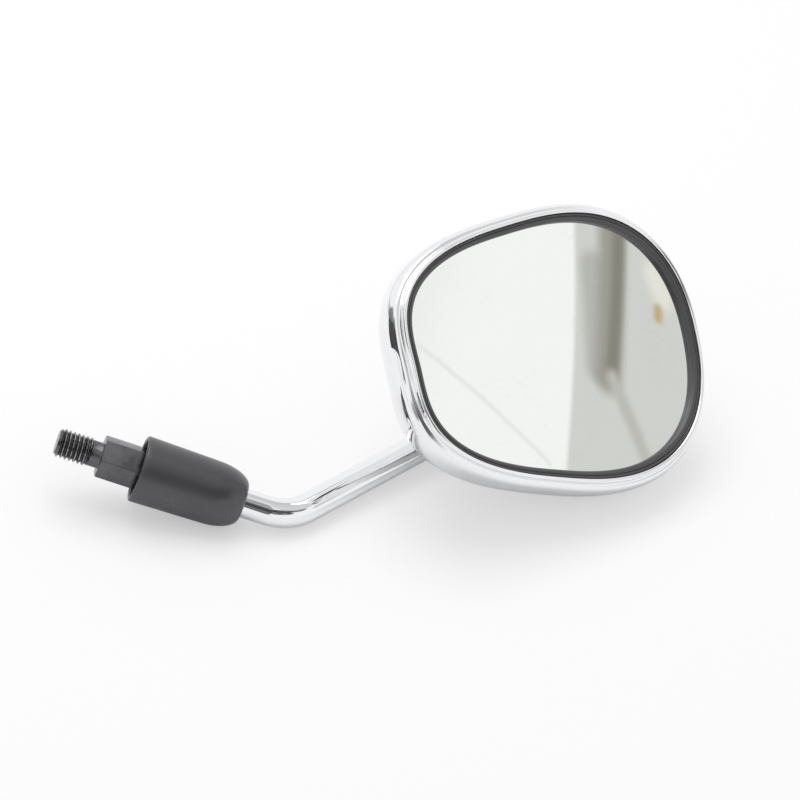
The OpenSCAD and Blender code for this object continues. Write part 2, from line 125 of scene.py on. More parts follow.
class MirrorHeadSizes(PropertyGroup):
    """Sizes of the shell, the gasket, the glass and the pad.

    Depths count from the ball's centre towards the glass."""
    width: size("Opening width", 117)
    height: size("Opening height", 86)
    squareness: FloatProperty(name="Squareness, 2 for an ellipse", default=2.7)
    taper: FloatProperty(name="Share by which the outer end rises", default=0.23)
    lean: size("Rise to the outer end", 5.4)
    slant: size("Upper edge's shift to the arm", 4.8)
    arch: size("Both edges' shift to the arm", 9.4)
    across: size("Outline offset from the arm", 5.8)
    up: size("Outline offset upwards", 14.6)
    lip_front: size("Lip front depth", 22.6)
    lip_width: size("Lip width", 1.4)
    lip_stand: size("Lip height over the shoulder", 2.8)
    lip_fillet: size("Lip foot fillet", 0.8)
    flare: size("Swelling beyond the lip", 2.7)
    flare_depth: size("Widest place's depth", 15)
    wall: size("Shell wall", 2.2)
    floor_depth: size("Inner floor depth", -7.2)
    collar_root: size("Flat back's radius", 14.5)
    collar_radius: size("Collar radius", 13)
    collar_stand: size("Collar height", 1)
    collar_opening: size("Neck opening radius", 9.6)
    ledge: size("Gasket ledge width", 1.6)
    ledge_front: size("Ledge front depth", 15.8)
    boss_radius: size("Screw boss radius", 4)
    boss_circle: size("Boss distance from the axis", 18)
    pilot_radius: size("Boss hole radius", 1.6)
    glass_edge: size("Glass front depth at its end", 19.6)
    glass_thickness: size("Glass thickness", 2.8)
    glass_radius: size("Glass curve radius", 1200)
    glass_inset: size("Glass inside the opening", 1.1)
    gasket_width: size("Rubber width from the front", 2.7)
    gasket_front: size("Rubber face depth", 21.9)
    pad_inset: size("Pad inside the opening", 6.7)
    pad_back: size("Pad back depth", 13.9)


class MirrorFinishes(PropertyGroup):
    """Colours of the finishes."""
    chrome: colour("Bright chrome plate", (0.87, 0.875, 0.885))
    black_zinc: colour("Dark plate on the adapter", (0.125, 0.125, 0.132))
    worn_zinc: colour("Worn thread crests", (0.40, 0.39, 0.37))
    boot: colour("Soft plastic of the boot", (0.036, 0.036, 0.041))
    rubber: colour("Gasket rubber", (0.05, 0.05, 0.052))
    silver: colour("Silvered glass", (0.885, 0.905, 0.88))
    backing: colour("Paint on the back of the glass", (0.16, 0.17, 0.17))
    nylon: colour("Nylon of the liners", (0.80, 0.79, 0.73))
    black_nylon: colour("Nylon of the socket", (0.035, 0.035, 0.035))
    steel: colour("Ground steel of the ball", (0.56, 0.56, 0.57))
    spring_steel: colour("Wire of the springs", (0.448, 0.448, 0.456))
    zinc: colour("Clear zinc plate", (0.60, 0.61, 0.62))
    yellow_zinc: colour("Yellow zinc plate", (0.66, 0.57, 0.36))
    foam: colour("Closed-cell foam", (0.045, 0.045, 0.047))
    table: colour("Table cloth", (0.97, 0.97, 0.975))
    card: colour("Dark card beside the head", (0.05, 0.055, 0.05))
    card_patches: colour("Paler patches of the card", (0.13, 0.12, 0.12))


class MirrorStudio(PropertyGroup):
    """The camera's lens, the light and the fineness of the head."""
    focal_length: FloatProperty(name="Focal length in millimetres", default=270.0)
    world_level: FloatProperty(name="Light from all round", default=0.72)
    key_power: FloatProperty(name="Power of the key light in watts", default=5.6)
    around: IntProperty(name="Points around the head's outline", default=288, min=48)


def arm_sizes():
    return bpy.context.scene.mirror_arm


def head_sizes():
    return bpy.context.scene.mirror_head


def finishes():
    return bpy.context.scene.mirror_finishes


# Places of the arm and the head

def arm_place():
    """The arm's own frame: its start at the stem's crossing point, z along the arm."""
    s = arm_sizes()
    return Matrix.Translation((0, 0, s.stem_height)) @ Matrix.Rotation(-s.arm_lean, 4, "Y")


def neck_place():
    """The crossing point behind the head, z along the neck towards the glass."""
    s = arm_sizes()
    lift = Matrix.Translation((0, 0, s.arm_length))
    around = Matrix.Rotation(s.face_turn, 4, "Z")
    return arm_place() @ lift @ around @ Matrix.Rotation(math.pi / 2, 4, "X")


def head_place():
    """The head's frame: the ball's centre, z towards the glass, x across it."""
    s = arm_sizes()
    lift = Matrix.Translation((0, 0, s.neck_length))
    return neck_place() @ lift @ Matrix.Rotation(math.pi / 2 + s.face_roll, 4, "Z")


# Modelling helpers

def deselect():
    if bpy.context.object is not None and bpy.context.object.mode != "OBJECT":
        bpy.ops.object.mode_set(mode="OBJECT")
    bpy.ops.object.select_all(action="DESELECT")


def pick(obj):
    """Selects one object alone and makes it active."""
    deselect()
    obj.select_set(True)
    bpy.context.view_layer.objects.active = obj


def move_ring(mesh, place, ring):
    """Puts the selected vertices of the newest ring on its points."""
    for vertex in mesh.verts:
        if vertex.select:
            vertex.co = ring[vertex[place]]


def loft(name, rings, closed=False, capped=False):
    """Extrudes a circle through the rings, one extrusion for each ring.

    closed joins the last ring to the first, and capped puts a flat cap on both open ends."""
    deselect()
    bpy.ops.mesh.primitive_circle_add(vertices=len(rings[0]), radius=1)
    obj = bpy.context.object
    obj.name = name
    bpy.ops.object.mode_set(mode="EDIT")
    mesh = bmesh.from_edit_mesh(obj.data)
    place = mesh.verts.layers.int.new("place")
    for index, vertex in enumerate(mesh.verts):
        vertex[place] = index
        vertex.co = rings[0][index]
    bpy.ops.mesh.select_all(action="SELECT")
    for ring in rings[1:]:
        bpy.ops.mesh.extrude_edges_move()
        mesh = bmesh.from_edit_mesh(obj.data)
        move_ring(mesh, mesh.verts.layers.int["place"], ring)
        bmesh.update_edit_mesh(obj.data)
    if closed:
        bpy.ops.mesh.select_all(action="DESELECT")
        bpy.ops.mesh.select_non_manifold(
            extend=False, use_wire=False, use_boundary=True, use_multi_face=False,
            use_non_contiguous=False, use_verts=False)
        bpy.ops.mesh.bridge_edge_loops()
    mesh = bmesh.from_edit_mesh(obj.data)
    mesh.verts.layers.int.remove(mesh.verts.layers.int["place"])
    bmesh.update_edit_mesh(obj.data)
    if capped:
        cap_ring(obj, rings[0])
        cap_ring(obj, rings[-1])
    close_up()
    return obj


def cap_ring(obj, ring, near=1e-6):
    """Fills the boundary loop that lies on the ring's points."""
    mesh = bmesh.from_edit_mesh(obj.data)
    centre = sum(ring, Vector()) / len(ring)
    spokes = [point - centre for point in ring]
    reach = max(spoke.length for spoke in spokes) + near
    normal = spokes[0].cross(spokes[len(spokes) // 4]).normalized()
    for vertex in mesh.verts:
        offset = vertex.co - centre
        on_ring = offset.length < reach and abs(offset.dot(normal)) < near
        vertex.select = vertex.is_boundary and on_ring
    mesh.select_flush_mode()
    for edge in mesh.edges:
        edge.select = edge.is_boundary and all(v.select for v in edge.verts)
    bmesh.update_edit_mesh(obj.data)
    bpy.ops.mesh.edge_face_add()


def close_up(distance=1e-7):
    """Merges doubles, turns the faces outwards and leaves edit mode."""
    bpy.ops.mesh.select_all(action="SELECT")
    bpy.ops.mesh.remove_doubles(threshold=distance)
    bpy.ops.mesh.normals_make_consistent(inside=False)
    bpy.ops.object.mode_set(mode="OBJECT")


def circle_rings(place, sections, count):
    """Rings around the z axis of a place, one for each radius and height."""
    angles = [2 * math.pi * i / count for i in range(count)]
    return [[place @ Vector((radius * math.cos(a), radius * math.sin(a), height)) for a in angles]
            for radius, height in sections]


def apply_modifier(obj, kind, **settings):
    """Adds a modifier with its settings to an object and applies it."""
    pick(obj)
    modifier = obj.modifiers.new(kind.lower(), kind)
    for name, value in settings.items():
        setattr(modifier, name, value)
    bpy.ops.object.modifier_apply(modifier=modifier.name)


def combine(target, tool, operation):
    """Cuts, joins or keeps the common part of two solids, and removes the tool."""
    apply_modifier(target, "BOOLEAN", operation=operation, object=tool, solver="EXACT")
    bpy.data.objects.remove(tool)
    bpy.ops.object.mode_set(mode="EDIT")
    close_up(1e-8)


def finish_piece(obj, body, slot, nodes, *finish_names, smooth=35):
    """Gives a piece its smoothing, finishes and body, and hides the CAD nodes it stands for."""
    pick(obj)
    bpy.ops.object.shade_smooth_by_angle(angle=math.radians(smooth))
    obj.data.name = obj.name
    obj.data.materials.clear()
    for name in finish_names:
        obj.data.materials.append(finish_named(name))
    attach(obj, body)
    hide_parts(*nodes)


# Shader nodes

def feed(tree, socket, value):
    """Sets an input to a plain value, or links another node's output to it."""
    if isinstance(value, bpy.types.NodeSocket):
        tree.links.new(value, socket)
    else:
        socket.default_value = value


def set_inputs(tree, node, **inputs):
    """Feeds a node's inputs. An underscore stands for the blank in an input's name."""
    for label, value in inputs.items():
        feed(tree, node.inputs[label.replace("_", " ")], value)


def new_node(tree, kind, **inputs):
    node = tree.nodes.new(kind)
    set_inputs(tree, node, **inputs)
    return node


def noise(tree, vector, scale, detail=3.0, roughness=0.5):
    return new_node(tree, "ShaderNodeTexNoise", Vector=vector, Scale=scale, Detail=detail,
                    Roughness=roughness).outputs["Fac"]


def ramp(tree, value, low, high, to_low=0.0, to_high=1.0):
    """Maps a range of values to another, smoothly and within its ends."""
    node = new_node(tree, "ShaderNodeMapRange", Value=value, From_Min=low, From_Max=high,
                    To_Min=to_low, To_Max=to_high)
    node.interpolation_type = "SMOOTHSTEP"
    return node.outputs["Result"]


def maths(tree, operation, *values, kind="ShaderNodeMath", output=0):
    """Output of a sum with numbers, or with vectors where the kind says so."""
    node = tree.nodes.new(kind)
    node.operation = operation
    for socket, value in zip(node.inputs, values):
        feed(tree, socket, value)
    return node.outputs[output]


def vector_maths(tree, operation, *values, output="Vector"):
    return maths(tree, operation, *values, kind="ShaderNodeVectorMath", output=output)


def blend(tree, mask, first, second):
    """Goes from one colour to another with a mask. Each is plain or another node's output."""
    node = tree.nodes.new("ShaderNodeMix")
    node.data_type = "RGBA"
    feed(tree, node.inputs["Factor"], mask)
    for label, value in (("A", first), ("B", second)):
        linked = isinstance(value, bpy.types.NodeSocket)
        feed(tree, node.inputs[label], value if linked else (*value, 1))
    return node.outputs["Result"]


def mix_shaders(tree, share, first, second):
    node = tree.nodes.new("ShaderNodeMixShader")
    for socket, value in zip(node.inputs, (share, first, second)):
        tree.links.new(value, socket)
    return node.outputs["Shader"]


def object_coordinates(tree, scale=(1, 1, 1), rotation=(0, 0, 0)):
    source = tree.nodes.new("ShaderNodeTexCoord").outputs["Object"]
    return new_node(tree, "ShaderNodeMapping", Vector=source, Scale=scale,
                    Rotation=rotation).outputs["Vector"]


def new_group(name, inputs, outputs):
    """An empty shader group with float inputs and outputs."""
    tree = bpy.data.node_groups.new(name, "ShaderNodeTree")
    for direction, labels in (("INPUT", inputs), ("OUTPUT", outputs)):
        for label in labels:
            tree.interface.new_socket(name=label, in_out=direction, socket_type="NodeSocketFloat")
    return tree, tree.nodes.new("NodeGroupInput"), tree.nodes.new("NodeGroupOutput")


def use_group(tree, name, **inputs):
    """The outputs of a group that is placed in a material."""
    node = tree.nodes.new("ShaderNodeGroup")
    node.node_tree = bpy.data.node_groups[name]
    set_inputs(tree, node, **inputs)
    return node.outputs


# Shader groups that the finishes share

def polish_marks_group():
    """Faint handling marks on polished metal and glass: a broad haze and a fine ripple."""
    tree, source, target = new_group("Polish Marks", ["Coverage"], ["Haze", "Ripple"])
    coordinates = object_coordinates(tree)
    patch = ramp(tree, noise(tree, coordinates, 60.0, 4.0, 0.6), 0.42, 0.72)
    strokes = object_coordinates(tree, (1, 6, 1), (0.4, 0.7, 0.2))
    streak = ramp(tree, noise(tree, strokes, 240.0, 2.0), 0.35, 0.7)
    mark = maths(tree, "MULTIPLY", patch, streak)
    haze = maths(tree, "MULTIPLY", mark, source.outputs["Coverage"])
    set_inputs(tree, target, Haze=haze, Ripple=noise(tree, coordinates, 130.0, 1.0))


def moulded_grain_group():
    """Grain of moulded plastic and rubber: fine pits and a slow change of tone."""
    tree, source, target = new_group("Moulded Grain", ["Scale"], ["Height", "Tone"])
    coordinates = object_coordinates(tree)
    scale = source.outputs["Scale"]
    cells = new_node(tree, "ShaderNodeTexVoronoi", Vector=coordinates, Scale=scale)
    cells.feature = "SMOOTH_F1"
    fine = noise(tree, coordinates, scale, 2.0)
    height = maths(tree, "ADD", cells.outputs["Distance"], fine)
    tone = ramp(tree, noise(tree, coordinates, 45.0, 1.0), 0.2, 0.8)
    set_inputs(tree, target, Height=height, Tone=tone)


def plated_mottle_group():
    """Mottle of plated steel: cloudy tone, small spots and fine turning lines."""
    tree, _, target = new_group("Plated Mottle", [], ["Tone", "Spots", "Lines"])
    coordinates = object_coordinates(tree)
    around = object_coordinates(tree, (0.02, 0.02, 1))
    cloud = noise(tree, coordinates, 180.0, 6.0, 0.6)
    spots = noise(tree, coordinates, 1500.0, 2.0)
    set_inputs(tree, target, Tone=ramp(tree, cloud, 0.3, 0.7),
               Spots=ramp(tree, spots, 0.6, 0.75), Lines=noise(tree, around, 3000.0, 2.0))


# Finishes

def new_material(name, metallic, roughness):
    material = bpy.data.materials.new(name)
    material.use_nodes = True
    tree = material.node_tree
    shader = tree.nodes["Principled BSDF"]
    set_inputs(tree, shader, Metallic=metallic, Roughness=roughness)
    return tree, shader


def tint(tree, shader, mask, first, second):
    """Base colour that goes from one tone to another with a mask."""
    set_inputs(tree, shader, Base_Color=blend(tree, mask, first, second))


def bump(tree, shader, height, strength, distance):
    node = new_node(tree, "ShaderNodeBump", Height=height, Strength=strength, Distance=distance)
    set_inputs(tree, shader, Normal=node.outputs["Normal"])


def shade(base, factor):
    return tuple(min(1.0, c * factor) for c in base)


def polished_material(name, base, roughness, coverage, ripple):
    """Chrome and silvered glass, a little duller and darker where they were handled."""
    tree, shader = new_material(name, 1.0, roughness)
    marks = use_group(tree, "Polish Marks", Coverage=coverage)
    tint(tree, shader, marks["Haze"], base, shade(base, 0.9))
    dull = ramp(tree, marks["Haze"], 0.0, 1.0, roughness, roughness + 0.16)
    set_inputs(tree, shader, Roughness=dull)
    bump(tree, shader, marks["Ripple"], ripple, 0.2 * MM)


def moulded_material(name, base, roughness, scale, depth, specular=0.5):
    """Plastic, rubber, foam and paint, shinier where they are paler."""
    tree, shader = new_material(name, 0.0, roughness)
    set_inputs(tree, shader, Specular_IOR_Level=specular)
    grain = use_group(tree, "Moulded Grain", Scale=scale)
    tint(tree, shader, grain["Tone"], shade(base, 0.86), shade(base, 1.14))
    dull = ramp(tree, grain["Tone"], 0.0, 1.0, roughness + 0.06, roughness - 0.05)
    set_inputs(tree, shader, Roughness=dull)
    bump(tree, shader, grain["Height"], 0.35, depth * MM)


def plated_material(name, base, roughness, lines=0.25):
    """Turned and plated steel."""
    tree, shader = new_material(name, 1.0, roughness)
    mottle = use_group(tree, "Plated Mottle")
    tint(tree, shader, mottle["Tone"], shade(base, 0.84), shade(base, 1.12))
    cloudy = ramp(tree, mottle["Tone"], 0.0, 1.0, roughness, roughness + 0.1)
    spotted = maths(tree, "MULTIPLY", mottle["Spots"], 0.12)
    set_inputs(tree, shader, Roughness=maths(tree, "ADD", cloudy, spotted))
    bump(tree, shader, mottle["Lines"], lines, 0.02 * MM)
    return tree, shader


def adapter_material(name, base, roughness, lines):
    """Dark plated steel whose thread crests are worn brighter."""
    s = arm_sizes()
    tree, shader = plated_material(name, base, roughness, lines)
    coordinates = object_coordinates(tree)
    split = new_node(tree, "ShaderNodeSeparateXYZ", Vector=coordinates).outputs
    squares = [maths(tree, "POWER", split[axis], 2.0) for axis in ("X", "Y")]
    radius = maths(tree, "SQRT", maths(tree, "ADD", *squares))
    worn_depth = 0.25 * MM
    crest = ramp(tree, radius, s.stud_radius - worn_depth, s.stud_radius)
    on_stud = ramp(tree, split["Z"], -s.relief_length, -s.relief_length - 2 * worn_depth)
    patches = ramp(tree, noise(tree, coordinates, 420.0), 0.35, 0.6)
    wear = maths(tree, "MULTIPLY", maths(tree, "MULTIPLY", crest, on_stud), patches)
    plain = shader.inputs["Base Color"].links[0].from_socket
    tint(tree, shader, wear, plain, finishes().worn_zinc)


# The table's own light for the camera, its share of what the camera sees, and how far
# below the table a turned part can lie and still be seen, in metres
TABLE_GLOW = (0.985, 0.985, 0.985)
GLOW_SHARE = 0.42
SEEN_BELOW = 0.3


def table_material(name, base, roughness):
    """Pale cloth with a light of its own for the camera.

    Seen from below it isn't there, and neither is it where a turned part lies behind it."""
    tree, shader = new_material(name, 0.0, roughness)
    weave = noise(tree, object_coordinates(tree), 700.0, 2.0)
    tint(tree, shader, ramp(tree, weave, 0.3, 0.7), shade(base, 0.99), base)
    set_inputs(tree, shader, Specular_IOR_Level=0.1)
    glow = new_node(tree, "ShaderNodeEmission", Color=(*TABLE_GLOW, 1)).outputs["Emission"]
    clear = tree.nodes.new("ShaderNodeBsdfTransparent").outputs["BSDF"]
    to_camera = tree.nodes.new("ShaderNodeLightPath").outputs["Is Camera Ray"]
    backfacing = tree.nodes.new("ShaderNodeNewGeometry").outputs["Backfacing"]
    below = new_node(tree, "ShaderNodeAmbientOcclusion", Distance=SEEN_BELOW)
    below.inside = True
    below.samples = 24
    covered = ramp(tree, below.outputs["AO"], 0.95, 0.99, 1.0, 0.0)
    hidden = maths(tree, "MAXIMUM", backfacing, covered)
    hidden = maths(tree, "MULTIPLY", to_camera, hidden)
    share = maths(tree, "MULTIPLY", to_camera, GLOW_SHARE)
    lit = mix_shaders(tree, share, shader.outputs["BSDF"], glow)
    set_inputs(tree, tree.nodes["Material Output"], Surface=mix_shaders(tree, hidden, lit, clear))


def card_material(name, base, roughness):
    """A dark mottled card that only reflections see."""
    tree, shader = new_material(name, 0.0, roughness)
    tone = ramp(tree, noise(tree, object_coordinates(tree), 60.0), 0.3, 0.7)
    tint(tree, shader, tone, base, finishes().card_patches)


# Maker, colour, roughness and further settings of each finish. Polished: haze coverage and
# ripple. Moulded: grain scale, grain depth in millimetres and shine. Plated: turning lines.
FINISHES = {
    "Bright Chrome": (polished_material, "chrome", 0.02, 0.35, 0.03),
    "Silvered Glass": (polished_material, "silver", 0.015, 0.25, 0.0),
    "Backing Paint": (moulded_material, "backing", 0.55, 1800.0, 0.02),
    "Soft Boot Plastic": (moulded_material, "boot", 0.3, 2600.0, 0.001, 0.85),
    "Frame Rubber": (moulded_material, "rubber", 0.34, 3200.0, 0.02, 0.7),
    "Natural Nylon": (moulded_material, "nylon", 0.4, 2400.0, 0.02),
    "Black Filled Nylon": (moulded_material, "black_nylon", 0.5, 1800.0, 0.03),
    "Closed-cell Foam": (moulded_material, "foam", 0.85, 1100.0, 0.25, 0.2),
    "Ground Steel": (plated_material, "steel", 0.16, 0.15),
    "Clear Zinc Plate": (plated_material, "zinc", 0.26),
    "Yellow Zinc Plate": (plated_material, "yellow_zinc", 0.3),
    "Spring Wire": (plated_material, "spring_steel", 0.22),
    "Black Zinc Plate": (adapter_material, "black_zinc", 0.22, 0.06),
    "Table Cloth": (table_material, "table", 0.9),
    "Dark Card": (card_material, "card", 1.0),
}


def finish_named(name):
    """Makes each finish once, and gives it again when it is asked for."""
    if name not in bpy.data.materials:
        maker, tone, *settings = FINISHES[name]
        maker(name, getattr(finishes(), tone), *settings)
    return bpy.data.materials[name]


# The head's outline

def signed_power(base, exponent):
    return math.copysign(abs(base) ** exponent, base)


def outline_point(angle, grow):
    """Point of the head's outline, at a distance outside the opening."""
    h = head_sizes()
    u = signed_power(math.cos(angle), 2 / h.squareness)
    v = signed_power(math.sin(angle), 2 / h.squareness)
    x = h.across + (h.width / 2 + grow) * u - h.slant * v - h.arch * v * v
    y = h.up + (h.height / 2 + grow) * (1 + h.taper * u) * v + h.lean * u
    return x, y


def glass_front(x, y):
    """Depth of the glass's convex front at a point of the head's plane."""
    h = head_sizes()
    centre = h.glass_edge - math.sqrt(h.glass_radius ** 2 - (h.width / 2) ** 2)
    return centre + math.sqrt(h.glass_radius ** 2 - (x - h.across) ** 2 - (y - h.up) ** 2)


def head_ring(point):
    """Ring around the head, from the point in the head's frame that belongs to each angle."""
    place = head_place()
    count = bpy.context.scene.mirror_studio.around
    return [place @ Vector(point(2 * math.pi * i / count)) for i in range(count)]


def outline_ring(grow, depth, over_glass=False):
    """Ring along the outline. Its depth counts from the ball, or from the glass's front."""
    def point(angle):
        x, y = outline_point(angle, grow)
        return x, y, depth + (glass_front(x, y) if over_glass else 0.0)

    return head_ring(point)


def blended_ring(grow, depth, share, radius):
    """Ring between the outline and a circle around the ball's axis."""
    def point(angle):
        x, y = outline_point(angle, grow)
        return (x * (1 - share) + radius * math.cos(angle) * share,
                y * (1 - share) + radius * math.sin(angle) * share, depth)

    return head_ring(point)


def shrunk_point(angle, share, grow):
    """Point of the outline, shrunk to its centre by a share."""
    h = head_sizes()
    x, y = outline_point(angle, grow)
    return h.across + (x - h.across) * share, h.up + (y - h.up) * share


def glass_ring(share, offset, grow):
    """Shrunk ring that is set off from the glass's front."""
    def point(angle):
        x, y = shrunk_point(angle, share, grow)
        return x, y, glass_front(x, y) + offset

    return head_ring(point)


def pad_ring(share, depth, grow):
    """Shrunk ring on the flat back of the pad."""
    return head_ring(lambda angle: (*shrunk_point(angle, share, grow), depth))


def steps(first, last, count):
    return [first + (last - first) * i / count for i in range(count + 1)]


def quarter(count):
    """Sine and cosine at the steps of a quarter turn."""
    return [(math.sin(a), math.cos(a)) for a in steps(0, math.pi / 2, count)]


def dome_rings(grow, front, back, count):
    """Domed back: the outline shrinks along an ellipse into the round root of the collar."""
    h = head_sizes()
    return [blended_ring(grow, front - (front - back) * sin, 1 - cos, h.collar_root)
            for sin, cos in quarter(count)]


def shell_rings():
    """Section of the shell, from the inner edge of the lip out, back and in again."""
    h = head_sizes()
    half = h.lip_width / 2
    swell = h.flare - h.lip_fillet
    shoulder = h.lip_front - h.lip_stand
    back = h.floor_depth - h.wall
    collar_back = back - h.collar_stand
    edge = 0.5 * MM
    bevel = 0.4 * MM
    lip = [outline_ring(half + half * math.cos(a), h.lip_front - half + half * math.sin(a))
           for a in steps(math.pi, 0, 14)]
    fillet = [outline_ring(h.lip_width + h.lip_fillet * (1 - cos),
                           shoulder + h.lip_fillet * (1 - sin)) for sin, cos in quarter(7)]
    body = [outline_ring(h.lip_width + h.lip_fillet + swell * sin,
                         h.flare_depth + (shoulder - h.flare_depth) * cos)
            for sin, cos in quarter(14)[1:-1]]
    outer = dome_rings(h.lip_width + h.flare, h.flare_depth, back, 34)
    collar = [blended_ring(0, collar_back + edge * (1 - sin), 1,
                           h.collar_radius - edge * (1 - cos)) for sin, cos in quarter(5)]
    opening = [blended_ring(0, collar_back, 1, h.collar_opening + bevel),
               blended_ring(0, collar_back + bevel, 1, h.collar_opening),
               blended_ring(0, h.floor_depth, 1, h.collar_opening)]
    inner = dome_rings(h.lip_width + h.flare - h.wall, h.ledge_front - h.ledge,
                       h.floor_depth, 22)[::-1]
    ledge = [outline_ring(-h.ledge, h.ledge_front - h.ledge),
             outline_ring(-h.ledge, h.ledge_front), outline_ring(0, h.ledge_front)]
    return lip + fillet + body + outer + collar + opening + inner + ledge


# Operators, one for each piece or group of like pieces

# Points around the round pieces
ROD_POINTS = 96
BOOT_POINTS = 128
BORE_POINTS = 64
BOSS_POINTS = 48
PILOT_POINTS = 32


class MIRROR_OT_finishes(Operator):
    """Makes the shader groups that the finishes share"""
    bl_idname = "mirror.finishes"
    bl_label = "Finishes"

    def execute(self, context):
        polish_marks_group()
        moulded_grain_group()
        plated_mottle_group()
        return {"FINISHED"}


# How finely the thread is drawn, and the shares of half a pitch that the flat root and the
# flank take; the flat crest has the rest
LEVELS_PER_PITCH = 20
ROOT_SHARE = 0.1
FLANK_SHARE = 0.72


def within_one(value):
    return min(1.0, max(0.0, value))


def thread_ring(height):
    """Section of the stud across its axis, within its chamfered tip and its run-out."""
    s = arm_sizes()
    tip = -s.stud_length
    end = -s.relief_length
    turned = min(s.stud_radius - s.stud_chamfer + height - tip, s.relief_radius + end - height)
    run_out = within_one(1 - (end - height) / s.thread_pitch)
    root = s.stud_root + (s.relief_radius - s.stud_root) * run_out
    ring = []
    for i in range(ROD_POINTS):
        share = (height / s.thread_pitch - i / ROD_POINTS) % 1
        rise = within_one((min(share, 1 - share) * 2 - ROOT_SHARE) / FLANK_SHARE)
        radius = min(max(root, s.stud_root + (s.stud_radius - s.stud_root) * rise), turned)
        angle = 2 * math.pi * i / ROD_POINTS
        ring.append(Vector((radius * math.cos(angle), radius * math.sin(angle), height)))
    return ring


def stud_solid():
    """Thread, plain neck and the small fillet under the shoulder, as one turned piece.

    It reaches a millimetre into the hexagon, which it is joined to."""
    s = arm_sizes()
    neck = s.relief_radius
    fillet = 0.35 * MM
    small = 0.1 * MM
    levels = round((s.stud_length - s.relief_length) / s.thread_pitch * LEVELS_PER_PITCH)
    rings = [thread_ring(z) for z in steps(-s.stud_length, -s.relief_length, levels)]
    rings += circle_rings(Matrix(), (
        (neck, small - s.relief_length), (neck, -fillet), (neck + small, -small),
        (neck + fillet, 0.2 * MM), (neck, MM)), ROD_POINTS)
    return loft("stud", rings, capped=True)


class MIRROR_OT_stud_adapter(Operator):
    """Stud with its thread and plain neck, and the hexagon with turned corners and a blind bore"""
    bl_idname = "mirror.stud_adapter"
    bl_label = "Stud Adapter"

    def execute(self, context):
        s = arm_sizes()
        corner = s.hex_width / 2 / math.cos(math.pi / 6)
        top = s.hex_length
        chamfer = s.hex_chamfer
        mouth = 0.4 * MM
        deselect()
        bpy.ops.mesh.primitive_cylinder_add(vertices=6, radius=corner, depth=top)
        hexagon = context.object
        hexagon.data.transform(Matrix.Translation((0, 0, top / 2))
                               @ Matrix.Rotation(s.hex_turn + math.pi / 6, 4, "Z"))
        turned = ((corner - chamfer, 0), (corner, chamfer), (corner, top - chamfer),
                  (corner - chamfer, top))
        bored = ((s.bore_radius, top - s.bore_depth), (s.bore_radius, top - mouth),
                 (s.bore_radius + 2 * mouth, top + mouth))
        for name, sections, count, operation in (
            ("turned_blank", turned, ROD_POINTS, "INTERSECT"),
            ("drill", bored, BORE_POINTS, "DIFFERENCE"),
        ):
            tool = loft(name, circle_rings(Matrix(), sections, count), capped=True)
            combine(hexagon, tool, operation)
        apply_modifier(hexagon, "BEVEL", width=0.12 * MM, segments=2, limit_method="ANGLE",
                       angle_limit=math.radians(30))
        combine(hexagon, stud_solid(), "UNION")
        hexagon.name = "threaded_adapter"
        finish_piece(hexagon, "adapter", "adapter", ["stud_adapter"], "Black Zinc Plate", smooth=28)
        return {"FINISHED"}


def bent_place(radius, angle, height):
    """The place after a bend towards -x, which starts at a height on the z axis."""
    return (Matrix.Translation((-radius, 0, height)) @ Matrix.Rotation(-angle, 4, "Y")
            @ Matrix.Translation((radius, 0, 0)))


class MIRROR_OT_arm(Operator):
    """Chromed rod with a turned spigot, two bends and a turned neck"""
    bl_idname = "mirror.arm"
    bl_label = "Arm"

    def execute(self, context):
        s = arm_sizes()
        edge = 0.3 * MM
        full = s.rod_radius
        bent = full + s.bend_swell
        stem_reach = s.stem_bend * math.tan(s.arm_lean / 2)
        start = s.stem_height - stem_reach
        foot = [(s.spigot_radius - edge, s.spigot_bottom),
                (s.spigot_radius, s.spigot_bottom + edge), (s.spigot_radius, s.spigot_top),
                (full - edge, s.spigot_top), (full, s.spigot_top + edge)]
        stem = [(full, z) for z in steps(s.spigot_top + 2 * MM, start - MM, 6)]
        rings = circle_rings(Matrix(), foot + stem, ROD_POINTS)
        for angle in steps(0, s.arm_lean, 30):
            rings += circle_rings(bent_place(s.stem_bend, angle, start), [(bent, 0)], ROD_POINTS)
        arm = [(full, z) for z in steps(stem_reach + MM, s.arm_length - s.neck_bend - MM, 12)]
        rings += circle_rings(arm_place(), arm, ROD_POINTS)
        around = s.face_turn + math.pi / 2
        lift = Matrix.Translation((0, 0, s.arm_length))
        base = arm_place() @ lift @ Matrix.Rotation(around, 4, "Z")
        for angle in steps(0, math.pi / 2, 44):
            place = (base @ bent_place(s.neck_bend, angle, -s.neck_bend)
                     @ Matrix.Rotation(-around, 4, "Z"))
            rings += circle_rings(place, [(bent, 0)], ROD_POINTS)
        end = s.neck_length - s.neck_bend + s.neck_end
        neck = [(full - edge, edge), (s.neck_radius + edge, edge), (s.neck_radius, 2 * edge),
                (s.neck_radius, end - edge), (s.neck_radius - edge, end)]
        rings += circle_rings(place, neck, ROD_POINTS)
        rod = loft("bent_rod", rings, capped=True)
        finish_piece(rod, "arm", "rod", ["arm_rod"], "Bright Chrome", smooth=30)
        return {"FINISHED"}


